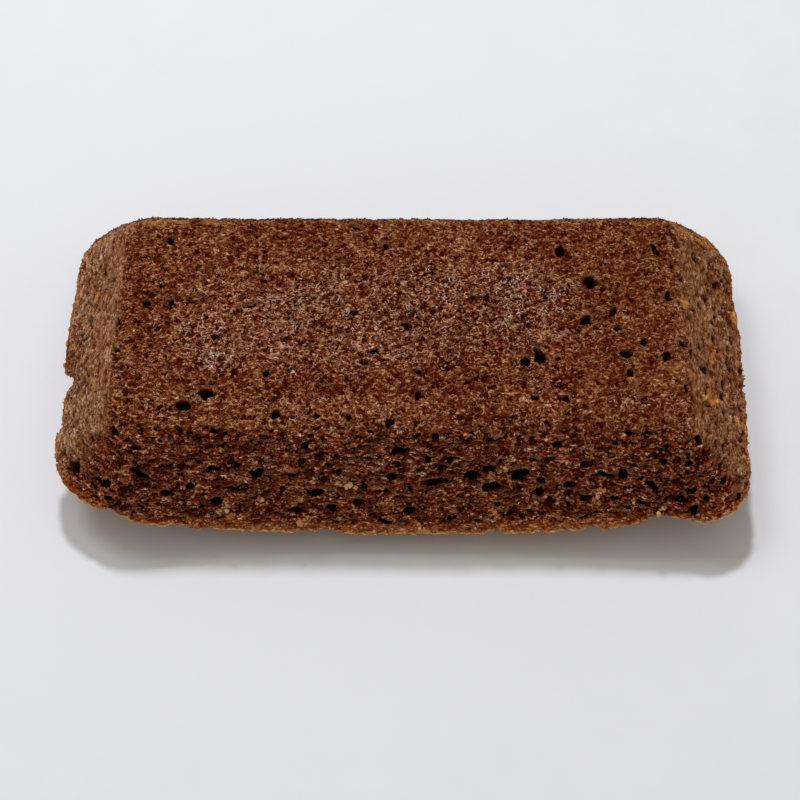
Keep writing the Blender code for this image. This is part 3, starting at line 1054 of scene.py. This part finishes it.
def crumb_colour(nodes, s):
    """The crumb's colour from its tone, with its skin, browned crust and ochre blotches, and painted light:
    pale lips and sheen as highlights, dark hollows as shade, lit pit floors, and lit and shaded copies of the
    crumb.
    """
    ramps = (CRUMB_COLOURS, SKIN_COLOURS, CRUST_COLOURS, OCHRE_COLOURS)
    crumb, skin, crust, golden = (nodes.ramp(s.tone, colours) for colours in ramps)
    # The top's tint: other where it is calm, and greyer where the sheen falls, a painted highlight.
    with_sheen = nodes.mix(nodes.between(s.calm, 1.0, 0.52), (1.06, 0.80, 0.50), (1.04, 0.96, 0.70))
    with_sheen = nodes.mix(s.sheen, with_sheen, (0.94, 0.70, 0.55))
    # The long sides are lit and shaded copies of the crumb: the shaded front painted lighter, as if more
    # light fell on it, and the lit back painted calmer.
    shaded_side = nodes.tinted(crumb, nodes.mix(s.lit, (1.74, 1.50, 1.24), (1.12, 0.96, 0.68)))
    colour = nodes.mix(s.front, nodes.tinted(crumb, with_sheen), shaded_side)
    # Painted light on the pits' lower floors.
    colour = nodes.mix(s.scooped, colour, LIT_PIT_FLOOR_COLOUR)
    # The left end's skin is painted paler than the right's, standing in for the light that falls on it from
    # the left.
    skin = nodes.tinted(skin, nodes.mix(s.pale, (1.22, 1.26, 1.27), (1.34, 1.56, 1.80)))
    colour = nodes.mix(s.end, colour, skin)
    rim = nodes.times(s.rim, nodes.plus(1.0, s.end, -0.70))
    colour = nodes.mix(nodes.times(nodes.math("MAXIMUM", rim, s.under), 0.9), colour, crust)
    scattered_ochre = nodes.between(nodes.noise(s.place, 0.30, 3.0, 0.6, 0.4), 0.60, 0.74)
    ragged_ochre = nodes.plus(nodes.share("ochre"), nodes.centred(s.round_grain), 1.6)
    ochre = nodes.math("MAXIMUM", scattered_ochre, nodes.between(ragged_ochre, 0.35, 0.75))
    golden = nodes.tinted(golden, nodes.mix(s.end, (1.0, 1.0, 1.0), (1.80, 1.85, 1.75)))
    colour = nodes.mix(nodes.times(ochre, nodes.plus(0.76, s.pale, -0.30)), colour, golden)
    # The lips above the pores and gaps are painted pale as highlights.
    colour = nodes.mix(nodes.times(s.lip, 0.60), colour, LIP_HIGHLIGHT_COLOUR)
    edged = nodes.times(nodes.share("edge"), nodes.between(s.grain, 0.38, 0.54, 0.40, 1.0))
    colour = nodes.mix(edged, colour, EDGE_COLOUR)
    # Gaps, pores and cracks painted dark as shade.
    gap_shade_colour = nodes.mix(s.end, FRONT_GAP_SHADE_COLOUR, nodes.mix(s.pale, RIGHT_GAP_SHADE_COLOUR, LEFT_GAP_SHADE_COLOUR))
    ragged = nodes.plus(s.hollow, nodes.centred(s.grain), 0.8)
    colour = nodes.mix(nodes.between(ragged, 0.22, 0.42), colour, gap_shade_colour)
    return nodes.mix(nodes.between(ragged, 0.50, 0.72), colour, DEEPEST_SHADE_COLOUR)


def crumb_material():
    """Baked chocolate crumb: pits painted dark red as shade, paler rings as painted highlights, ochre
    blotches.
    """
    nodes = Nodes("chocolate_crumb")
    names = "hollow lip ridge tint end front rim under sheen shade calm pale lit".split()
    s = SimpleNamespace(**{name: nodes.share(name) for name in names})
    crumb_grain(nodes, s)
    crumb_pits(nodes, s)
    crumb_tone(nodes, s)
    standing = nodes.plus(nodes.plus(nodes.times(s.pit, -0.9), s.grain, 0.7), s.ring, 0.6)
    roughness = nodes.between(s.fine_grain, 0.35, 0.65, 0.85, 0.55)
    return nodes.finished(crumb_colour(nodes, s), roughness, 0.015, nodes.bump(standing, CRUMB_BUMP))


# ---------------- put together

def link_piece(name, mesh, material):
    mesh.materials.clear()
    piece = linked(name, mesh)
    mesh.materials.append(material)
    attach(piece, "root")
    return piece


def add_cake():
    """The cake, and the small pieces that lie on it."""
    fine, points, normals, shaped, shares, part = shape_cake(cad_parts["cake"])
    mesh = kept_mesh(fine, points, normals, shaped, shares, part)
    lay_out(mesh)
    mesh.shade_smooth()
    cake = link_piece("cake_crumb", mesh, crumb_material())
    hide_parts("cake")
    tree = surface_tree([vertex.co / MM for vertex in mesh.vertices], mesh)
    add_every_curl(tree, points, normals, shares, part)
    add_golden_crumbs(tree, normals, shaped, part)
    add_grains(normals, shaped, part)


def level_frames(normals):
    """For each normal, the level direction along its face and the direction up it."""
    along = np.cross((0.0, 0.0, 1.0), normals)
    along[np.abs(normals[:, 2]) > LEVEL] = (1.0, 0.0, 0.0)
    along -= normals * (along * normals).sum(axis=1)[:, None]
    along /= np.linalg.norm(along, axis=1)[:, None]
    return along, np.cross(normals, along)


def curl_unfolding():
    """Where each corner of a curl's faces lies on a unit square: station across, and the way round up."""
    strips = {(1, 2): 0, (2, 3): 1, (1, 3): 2}
    spots = []
    for face in CURL_FACES:
        sides = sorted({(corner - 1) % 3 + 1 for corner in face if corner not in (0, 10)})
        low = strips[tuple(sides)]
        for corner in face:
            if corner in (0, 10):
                spots.append((corner / 10, (low + 0.5) / 3))
                continue
            way = (corner - 1) % 3
            way = 3 if low == 2 and way == 0 else way
            spots.append((((corner - 1) // 3 + 1) / 4, way / 3))
    return np.array(spots)


def tile_unfolding(mesh, spots, count):
    """A UV map with a small square for each of count like shapes, in rows and columns."""
    across = math.ceil(math.sqrt(count))
    which = np.arange(count)
    corner = np.stack([which % across, which // across], axis=1)[:, None]
    uv = (corner + 0.1 + 0.8 * spots[None]) / across
    mesh.uv_layers.new(name="OFBake").data.foreach_set("uv", uv.astype(np.float32).ravel())


def curl_mesh(name, tree, points, normals, share, count, style, sheen):
    """Small curls of crumb, each a bent ridge that tapers at both ends and lies on the surface."""
    radii, lengths, middle, spread, half_widths, heights = style
    random = np.random.default_rng(len(name) + count)
    picks = chosen(random, share, int(1.5 * count))
    tried = len(picks)
    normal = normals[picks]
    along, up = level_frames(normal)
    radius = random.uniform(*radii, tried)
    span = random.uniform(*lengths, tried) / radius
    mid = np.radians(middle + spread * random.normal(size=tried))
    mid += np.pi * (random.random(tried) < TURNED_CURLS)
    station = np.linspace(-0.5, 0.5, CURL_STATIONS)
    angle = mid[:, None] + span[:, None] * station[None]
    outward = np.cos(angle)[..., None] * along[:, None] + np.sin(angle)[..., None] * up[:, None]
    mid_outward = np.cos(mid)[:, None] * along + np.sin(mid)[:, None] * up
    wobble = 1 + 0.12 * random.normal(size=angle.shape)
    centre = points[picks] - mid_outward * radius[:, None]
    spine = dropped(tree, centre[:, None] + outward * (radius[:, None] * wobble)[..., None], normal)
    level = ((spine - points[picks][:, None]) * normal[:, None]).sum(axis=2)
    steep = np.nanmax(level, axis=1) - np.nanmin(level, axis=1)
    kept = np.flatnonzero(~np.isnan(level).any(axis=1) & (steep < STEEPEST_CURL))[:count]

    taper = 1 - np.abs(station[1:-1]) ** 2 * 1.2
    half_width = random.uniform(*half_widths, tried)[:, None] * random.uniform(0.75, 1.25, (tried, 3)) * taper
    height = random.uniform(*heights, tried)[:, None] * random.uniform(0.7, 1.3, (tried, 3)) * taper
    rise = normal[:, None]
    ridge, outward = spine[:, 1:-1], outward[:, 1:-1]
    inner = ridge - outward * half_width[..., None] - CURL_SINK * rise
    outer = ridge + outward * half_width[..., None] - CURL_SINK * rise
    lean = half_width * random.normal(0, 0.3, height.shape)
    crest = ridge + rise * height[..., None] + outward * lean[..., None]
    body = np.stack([inner, outer, crest], axis=2).reshape(tried, 9, 3)
    tips = spine[:, [0, -1]] - TIP_SINK * rise
    shape = np.concatenate([tips[:, :1], body, tips[:, 1:]], axis=1)[kept]
    faces = []
    for first in range(0, CURL_CORNERS * len(kept), CURL_CORNERS):
        faces += [tuple(first + corner for corner in face) for face in CURL_FACES]
    mesh = bpy.data.meshes.new(name)
    mesh.from_pydata((shape.reshape(-1, 3) * MM).tolist(), [], faces)
    for label, values in (("tint", random.random(tried)), ("sheen", sheen[picks])):
        store(mesh, label, np.repeat(values[kept], CURL_CORNERS))
    tile_unfolding(mesh, curl_unfolding(), len(kept))
    mesh.shade_smooth()
    return mesh


def dropped(tree, rows, normals):
    """Rows of points dropped onto the surface, each row along its own normal; a point that misses is nan."""
    landed = np.full(rows.shape, np.nan)
    for row, normal in enumerate(normals):
        down = Vector(-normal)
        for spot in range(rows.shape[1]):
            hit = tree.ray_cast(Vector(rows[row, spot] + normal), down, DROP_REACH)[0]
            if hit is not None:
                landed[row, spot] = hit
    return landed


def add_every_curl(tree, points, normals, shares, part):
    """Pale curls on the top, most of them where the sheen falls as a painted highlight, and thin lips above
    the gaps of the long sides, painted pale as highlights.
    """
    clear = step(0.25, 0.05, shares["hollow"])
    standing = step(-0.2, 0.4, shares["ridge"])
    sheen = shares["sheen"]
    # More curls where the sheen falls, as part of its painted highlight.
    with_sheen = 0.35 + 0.80 * sheen + 1.5 * step(0.8, 1.0, sheen)
    top = clear * standing * (part.top * with_sheen + 0.05 * part.end)
    sides = clear * shares["front"] * (1 - part.rim) * (0.010 + 1.2 * shares["lip"])
    for name, share, count, style, look, colours, specular, sheen_colours in (
        ("crumb_curls", top, TOP_CURLS, TOP_CURL_STYLE, "crumb_curl_and_sheen", CURL_COLOURS, 0.08, SHEEN_CURL_COLOURS),
        ("crumb_lips", sides, SIDE_LIPS, SIDE_LIP_STYLE, "crumb_lip_highlight", LIP_HIGHLIGHT_COLOURS, 0.02, SHEEN_LIP_COLOURS),
    ):
        mesh = curl_mesh(name, tree, points, normals, share, count, style, sheen)
        material = flecked_material(look, (4.0, 2.0, 0.6), 1.1, colours, (0.70, 0.50), specular, sheen_colours)
        link_piece(name, mesh, material)


def icosahedron():
    """The corners, 1 from the middle, and faces of a regular solid with twenty faces."""
    long_side = (1 + math.sqrt(5)) / 2
    corners = []
    for near in (-1, 1):
        for far in (-long_side, long_side):
            corners += [(0, near, far), (near, far, 0), (far, 0, near)]
    corners = np.array(corners, float)
    edge = 2.1
    faces = []
    for first, second, third in ((a, b, c) for a in range(12) for b in range(a) for c in range(b)):
        corner = corners[[first, second, third]]
        if all(np.linalg.norm(corner[i] - corner[i - 1]) < edge for i in range(3)):
            outward = np.cross(corner[1] - corner[0], corner[2] - corner[0]) @ corner.sum(axis=0) > 0
            faces.append((first, second, third) if outward else (first, third, second))
    return corners / np.linalg.norm(corners[0]), np.array(faces)


def turned_at_random(count, random):
    """That many rotation matrices, at random."""
    quaternion = random.normal(size=(count, 4))
    w, x, y, z = (quaternion / np.linalg.norm(quaternion, axis=1)[:, None]).T
    rows = (
        (1 - 2 * (y * y + z * z), 2 * (x * y - z * w), 2 * (x * z + y * w)),
        (2 * (x * y + z * w), 1 - 2 * (x * x + z * z), 2 * (y * z - x * w)),
        (2 * (x * z - y * w), 2 * (y * z + x * w), 1 - 2 * (x * x + y * y)),
    )
    return np.stack([np.stack(row, axis=1) for row in rows], axis=1)


def grain_mesh(name, places, sizes, random, radii):
    """One mesh of small angular grains, with their sizes across in millimetres, and a tint for each."""
    corners, faces = icosahedron()
    count = len(places)
    shape = corners[None] * random.uniform(*radii, (count, len(corners), 1))
    shape = shape * random.uniform(0.65, 1.15, (count, 1, 3))
    shape = np.einsum("nij,nkj->nki", turned_at_random(count, random), shape)
    shape = shape * 0.5 * sizes[:, None, None] + places[:, None]
    shape[:, :, 2] = np.maximum(shape[:, :, 2], LOWEST)
    mesh = bpy.data.meshes.new(name)
    every_face = faces[None] + len(corners) * np.arange(count)[:, None, None]
    mesh.from_pydata((shape.reshape(-1, 3) * MM).tolist(), [], every_face.reshape(-1, 3).tolist())
    store(mesh, "tint", np.repeat(random.random(count), len(corners)))
    row, column = np.divmod(np.arange(len(faces)), 5)
    triangle = np.array([(0.1, 0.1), (0.9, 0.1), (0.5, 0.9)])
    spots = np.stack([(column[:, None] + triangle[:, 0]) / 5, (row[:, None] + triangle[:, 1]) / 4], axis=2)
    tile_unfolding(mesh, spots.reshape(-1, 2), count)
    mesh.shade_smooth()
    return mesh


def add_golden_crumbs(tree, normals, shaped, part):
    """Crisp golden crumbs, amber to pale: clumps where the photograph shows them, and specks at random, most
    of them along the rim."""
    random = np.random.default_rng(41)
    places, sizes = [], []
    seen = [(x, y, width, width) for x, y, width in GOLDEN_SEEN]
    for centre, normal, half_width, *_ in seen_pores(tree, seen, 1.0):
        along, upward = level_axes(normal.normalized())
        for part_size in GOLDEN_CLUMP:
            spread = (1.2 - part_size) * half_width
            shift = along * random.normal(0, 1.2 * spread) + upward * random.normal(0, 0.9 * spread)
            size = 2 * half_width * part_size * random.uniform(1.05, 1.40)
            spot, facing, _, _ = tree.find_nearest(centre + shift)
            places.append(np.array(spot + facing * GOLDEN_LIFT * size))
            sizes.append(size)
    edge = part.rim * bell(normals[:, 2], 0.1, 0.45) * (0.35 + 0.65 * (np.abs(normals[:, 1]) > 0.5))
    share = edge + 0.012 * part.front + 0.006 * part.end + 0.002 * part.top + 0.008 * part.back
    picks = chosen(random, share, GOLDEN_SPECKS)
    speck_sizes = graded(GOLDEN_SPECK_SIZES, random.random(GOLDEN_SPECKS))
    speck_places = shaped[picks] + normals[picks] * (SPECK_LIFT * speck_sizes)[:, None]
    places = np.concatenate([np.array(places), speck_places])
    sizes = np.concatenate([np.array(sizes), speck_sizes])
    mesh = grain_mesh("golden_crumbs", places, sizes, random, GOLDEN_RADII)
    look = ((3.0, 3.0, 0.6), 1.6, GOLDEN_COLOURS, (0.75, 0.45), 0.15)
    link_piece("golden_crumbs", mesh, flecked_material("golden_crumb", *look, bump=GOLDEN_BUMP))


def add_grains(normals, shaped, part):
    """Loose crumbs, dark to tan."""
    random = np.random.default_rng(23)
    share = part.top + 0.9 * (part.front + part.back) + 0.35 * part.end
    share *= 1 - 0.8 * part.rim
    picks = chosen(random, share, GRAIN_COUNT)
    sizes = graded(GRAIN_SIZES, random.random(GRAIN_COUNT))
    places = shaped[picks] + normals[picks] * (GRAIN_LIFT * sizes)[:, None]
    mesh = grain_mesh("loose_crumbs", places, sizes, random, GRAIN_RADII)
    material = flecked_material("loose_crumb", (5.0, 2.0, 0.6), 1.2, GRAIN_COLOURS, (0.85, 0.60), 0.06)
    link_piece("loose_crumbs", mesh, material)


bpy.context.scene.view_settings.view_transform = "Standard"
add_camera()
add_lights()
add_floor()
add_cake()
